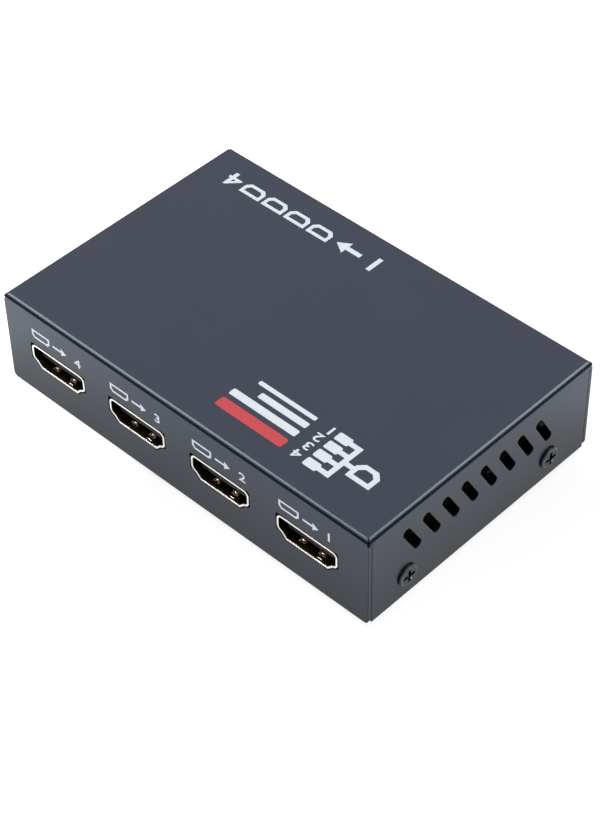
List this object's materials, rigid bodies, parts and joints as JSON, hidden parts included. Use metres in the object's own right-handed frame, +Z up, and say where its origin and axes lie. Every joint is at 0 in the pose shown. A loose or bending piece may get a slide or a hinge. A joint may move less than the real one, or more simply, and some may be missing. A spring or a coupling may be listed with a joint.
{
  "type": "hdmi splitter",
  "caption": "Flat folded sheet-metal box that sends one HDMI input to a row of HDMI outputs, with slanted side vents and rubber pads.",
  "frame": {"origin": "on the supporting surface, under the middle of the whole box", "axes": "+X along the row of outputs, towards output 1; -Y out of the output receptacles; +Z up"},
  "size_m": [0.0962, 0.0616, 0.0229],
  "materials": {
    "powder_coat": "satin dark blue-grey powder coat on folded sheet steel",
    "black_screw": "black zinc, semi-gloss",
    "rubber": "matt",
    "board": "green solder mask",
    "plated_steel": "nickel plated",
    "receptacle_metal": "pale gold flash on plated sheet, satin",
    "black_plastic": "moulded, fine grain",
    "gold_contacts": "gold flash",
    "light_lens": "tinted, unlit",
    "chip_body": "moulded epoxy",
    "crystal_can": "satin",
    "ferrite": "sintered",
    "capacitor_can": "satin",
    "ceramic": "fired"
  },
  "bodies": {
    "root": {"top_cover": "powder_coat", "base_tray": "powder_coat", "cover_screws": "black_screw", "rubber_feet": "rubber", "circuit_board": "board", "board_standoffs": "plated_steel", "board_screws": "plated_steel", "output_shell_1": "receptacle_metal", "output_shell_2": "receptacle_metal", "output_shell_3": "receptacle_metal", "output_shell_4": "receptacle_metal", "input_shell": "receptacle_metal", "output_insulator_1": "black_plastic", "output_insulator_2": "black_plastic", "output_insulator_3": "black_plastic", "output_insulator_4": "black_plastic", "input_insulator": "black_plastic", "output_contacts_1": "gold_contacts", "output_contacts_2": "gold_contacts", "output_contacts_3": "gold_contacts", "output_contacts_4": "gold_contacts", "input_contacts": "gold_contacts", "jack_housing": "black_plastic", "jack_pin": "plated_steel", "jack_spring": "plated_steel", "power_light": "light_lens", "light_leads": "plated_steel", "light_holder": "black_plastic", "splitter_chip": "chip_body", "memory_chip": "chip_body", "crystal": "crystal_can", "regulator": "chip_body", "inductor": "ferrite", "filter_capacitors": "capacitor_can", "filter_bases": "black_plastic", "surge_arrays": "chip_body", "chip_resistors": "chip_body", "chip_capacitors": "ceramic"}
  },
  "joints": []
}
